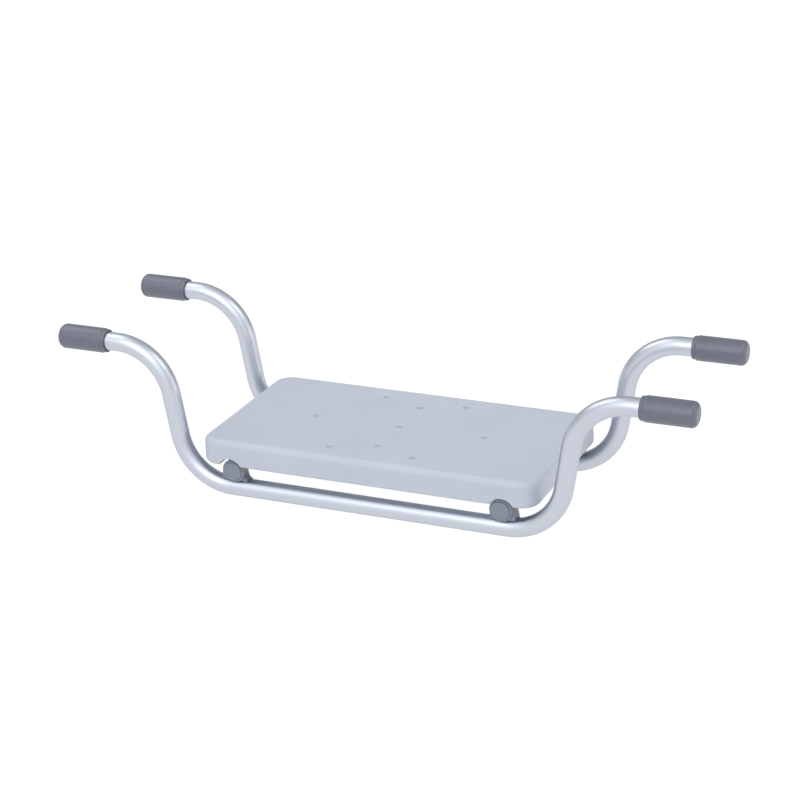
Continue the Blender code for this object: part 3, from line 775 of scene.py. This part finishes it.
def flare(radius, level, rim, up, lean=0):
    """Where a hole opens with a round edge at level, as (radius, height), going up or down.

    Without that edge it would have that radius at level. Its wall leans out by lean.
    """
    middle = radius + rim * math.tan((math.pi / 2 - lean) / 2)
    points = []
    for i in range(FLARE_STEPS + 1):
        angle = lean + (FLARE_END_ANGLE - lean) * i / FLARE_STEPS
        points.append((middle - rim * math.cos(angle), level - up * rim * (1 - math.sin(angle))))
    return points


def seat_board(material):
    """The board with its drains, cross-tube channels, notches, insert pockets and vent."""
    seat = mesh_object("seat_board", board_mesh(), material)
    tools = []
    low, high = SEAT_BOTTOM - CUTTER_MARGIN, SEAT_TOP + CUTTER_MARGIN
    wide = DRAIN_RADIUS + DRAIN_MOUTH_RIM
    hole = [(0, low), (wide, low), *reversed(flare(DRAIN_THROAT_RADIUS, SEAT_BOTTOM, DRAIN_FOOT_RIM, -1))]
    hole += [(DRAIN_THROAT_RADIUS, SEAT_TOP - DRAIN_MOUTH_DEPTH)]
    hole += [*flare(DRAIN_RADIUS, SEAT_TOP, DRAIN_MOUTH_RIM, 1, DRAIN_LEAN), (wide, high), (0, high)]
    for i, (x, y) in enumerate(drains()):
        tools.append(cutter(f"drain_{i}", hole, (x, y, 0), UP, DRAIN_SIDES))
    for side, sign in SIDES:
        x = sign * CROSS_X
        start = (x, -CUTTER_END_Y, CROSS_Z)
        end = (x, CUTTER_END_Y, CROSS_Z)
        tools.append(plain_cutter(f"channel_{side}", SADDLE_CRADLE_RADIUS, start, end, CHANNEL_SIDES))
        for place, out in ENDS:
            arch = [(0, NOTCH_INNER_Y), (NOTCH_RADIUS, NOTCH_INNER_Y)]
            arch += flare(NOTCH_RADIUS, SEAT_HALF_Y, NOTCH_RIM, 1)
            arch += [(NOTCH_RADIUS + 2 * NOTCH_RIM, CUTTER_END_Y), (0, CUTTER_END_Y)]
            middle = (sign * NOTCH_X, 0, CROSS_Z)
            tools.append(cutter(f"notch_{side}_{place}", arch, middle, (0, out, 0), ROUND_SIDES))
            start = (x, out * SEAT_SCREW_Y, CROSS_Z)
            end = (x, out * SEAT_SCREW_Y, INSERT_Z + INSERT_LENGTH + INSERT_SPARE)
            tools.append(plain_cutter(f"pocket_{side}_{place}", INSERT_RADIUS + GAP, start, end, HOLE_SIDES))
    vent_end = (0, VENT_Y, SEAT_BOTTOM + VENT_DEPTH)
    tools.append(plain_cutter("vent", VENT_RADIUS, (0, VENT_Y, low), vent_end, HOLE_SIDES))
    carve(seat, tools)
    keep_flats_flat(seat)
    return seat


# ---------------------------------------------------------------- the scene


def place_piece(obj, node):
    """Puts a finished piece in the place of its CAD node."""
    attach(obj, "root")
    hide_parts(node)


def build():
    """Makes every piece, where its CAD node is."""
    metal = aluminium()
    board = seat_plastic()
    vinyl = grip_vinyl()
    plastic = nylon()
    steel = turned_metal("stainless_steel", STEEL_TONES, smoothest=0.22, roughest=0.34)
    brass = turned_metal("brass", BRASS_TONES, smoothest=0.25, roughest=0.38)

    place_piece(seat_board(board), "seat")
    grips = grip_mesh(vinyl)
    caps = cap_mesh(plastic)
    saddles = {hand: saddle_mesh(hand, plastic) for hand in (-1, 1)}
    bolts = fastener_mesh("frame_bolt", FRAME_BOLT_LENGTH, steel)
    screws = fastener_mesh("seat_screw", SEAT_SCREW_LENGTH, steel)
    nuts = rivet_nut_mesh(steel)
    washers = sleeve_mesh("washer", WASHER_RADIUS, HOLE_RADIUS, WASHER_THICKNESS, steel, WASHER_EDGE)
    inserts = sleeve_mesh("insert", INSERT_RADIUS, HOLE_RADIUS, INSERT_LENGTH, brass, INSERT_EDGE)

    for end, out in ENDS:
        tube = frame_tube(f"{end}_tube", out * TUBE_Y, metal)
        place_piece(tube, f"{end}_frame_tube")
    for side, sign in SIDES:
        x = sign * CROSS_X
        place_piece(cross_tube(f"{side}_bar", x, metal), f"{side}_cross_tube")
        for end, out in ENDS:
            at = f"{end}_{side}"
            y = out * TUBE_Y
            mouth = (sign * (HALF_LENGTH - GRIP_LENGTH), y, ARM_Z)
            grip = mesh_object(f"handle_{at}", grips, None, mouth, (sign, 0, 0))
            place_piece(grip, f"grip_{at}")
            place_piece(end_cap(f"end_cap_{at}", caps, x, out), f"cap_{at}")
            place_piece(saddle(f"cradle_{at}", saddles[sign * out], x, out), f"saddle_{at}")
            bolt = mesh_object(f"bolt_{at}", bolts, None, (x, y, CROSS_Z + CROSS_RADIUS + GAP))
            place_piece(bolt, f"frame_bolt_{at}")
            nut = mesh_object(f"nut_{at}", nuts, None, (x, y, RUN_Z + TUBE_RADIUS))
            place_piece(nut, f"rivet_nut_{at}")
            y = out * SEAT_SCREW_Y
            below = CROSS_Z - CROSS_RADIUS - GAP - WASHER_THICKNESS
            washer = mesh_object(f"washer_{at}", washers, None, (x, y, below))
            place_piece(washer, f"seat_washer_{at}")
            screw = mesh_object(f"screw_{at}", screws, None, (x, y, below - GAP), (0, 0, -1))
            place_piece(screw, f"seat_screw_{at}")
            insert = mesh_object(f"insert_{at}", inserts, None, (x, y, INSERT_Z))
            place_piece(insert, f"seat_insert_{at}")


def add_floor():
    mesh = bpy.data.meshes.new("floor")
    corners = [(x * FLOOR_HALF, y * FLOOR_HALF, 0) for x, y in ((-1, -1), (1, -1), (1, 1), (-1, 1))]
    mesh.from_pydata(corners, [], [(0, 1, 2, 3)])
    floor = mesh_object("floor", mesh, pale_floor(), (0, 0, -FLOOR_DROP))


def soft_box(name, toward, distance, size, power):
    """An area light at that distance from the seat, facing it. toward is the way to it."""
    light = bpy.data.lights.new(name, "AREA")
    light.shape = "RECTANGLE"
    light.size, light.size_y = size
    light.energy = power
    obj = bpy.data.objects.new(name, light)
    bpy.context.scene.collection.objects.link(obj)
    way = Vector(toward).normalized()
    obj.location = way * distance
    obj.rotation_euler = way.to_track_quat("Z", "Y").to_euler()


def add_dome():
    """A studio dome: brightest up in front, and dimmer low down at the back."""
    world = bpy.data.worlds.new("studio")
    world.use_nodes = True
    tree = world.node_tree
    way = tree.nodes.new("ShaderNodeTexCoord").outputs["Generated"]
    facing = tree.nodes.new("ShaderNodeVectorMath")
    facing.operation = "DOT_PRODUCT"
    tree.links.new(way, facing.inputs[0])
    facing.inputs[1].default_value = DOME_PEAK
    curve = tree.nodes.new("ShaderNodeFloatCurve")
    top = max(value for _, value in DOME)
    scaled = tree.nodes.new("ShaderNodeMapRange")
    scaled.inputs["From Min"].default_value = -1.0
    tree.links.new(facing.outputs["Value"], scaled.inputs["Value"])
    points = curve.mapping.curves[0].points
    while len(points) < len(DOME):
        points.new(0.5, 0.5)  # its place is set below
    for point, (cosine, value) in zip(points, DOME):
        point.location = ((cosine + 1.0) / 2, value / top)
    curve.mapping.update()
    tree.links.new(scaled.outputs[0], curve.inputs["Value"])
    strength = tree.nodes.new("ShaderNodeMath")
    strength.operation = "MULTIPLY"
    tree.links.new(curve.outputs[0], strength.inputs[0])
    strength.inputs[1].default_value = top
    background = tree.nodes["Background"]
    background.inputs["Color"].default_value = color(*DOME_TINT)
    tree.links.new(strength.outputs[0], background.inputs["Strength"])
    bpy.context.scene.world = world


def add_lights():
    add_dome()
    for name, (toward, distance, size, power) in SOFT_BOXES.items():
        soft_box(name, toward, distance, size, power)


def add_camera():
    level = Vector((math.cos(CAMERA_AZIMUTH), math.sin(CAMERA_AZIMUTH), 0))
    ahead = UP.cross(level) * math.cos(CAMERA_ELEVATION) - UP * math.sin(CAMERA_ELEVATION)
    up = level.cross(ahead)
    right = level * math.cos(CAMERA_ROLL) + up * math.sin(CAMERA_ROLL)
    up = up * math.cos(CAMERA_ROLL) - level * math.sin(CAMERA_ROLL)
    data = bpy.data.cameras.new("camera")
    data.lens = CAMERA_LENS
    data.sensor_width = CAMERA_SENSOR
    camera = bpy.data.objects.new("camera", data)
    bpy.context.scene.collection.objects.link(camera)
    turn = Matrix((right, up, -ahead)).transposed().to_4x4()
    place = -ahead * CAMERA_DISTANCE + right * CAMERA_SHIFT[0] + up * CAMERA_SHIFT[1]
    camera.matrix_world = Matrix.Translation(place + Vector((0, 0, AIM_Z))) @ turn
    bpy.context.scene.camera = camera


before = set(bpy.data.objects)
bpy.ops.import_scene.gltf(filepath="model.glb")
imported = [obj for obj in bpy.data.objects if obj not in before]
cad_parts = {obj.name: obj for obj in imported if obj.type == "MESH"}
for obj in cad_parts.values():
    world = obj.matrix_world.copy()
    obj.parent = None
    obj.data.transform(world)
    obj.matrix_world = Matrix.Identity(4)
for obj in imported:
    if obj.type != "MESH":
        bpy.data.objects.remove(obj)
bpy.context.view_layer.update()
build()
add_floor()
add_lights()
add_camera()
bpy.context.scene.view_settings.view_transform = "Standard"
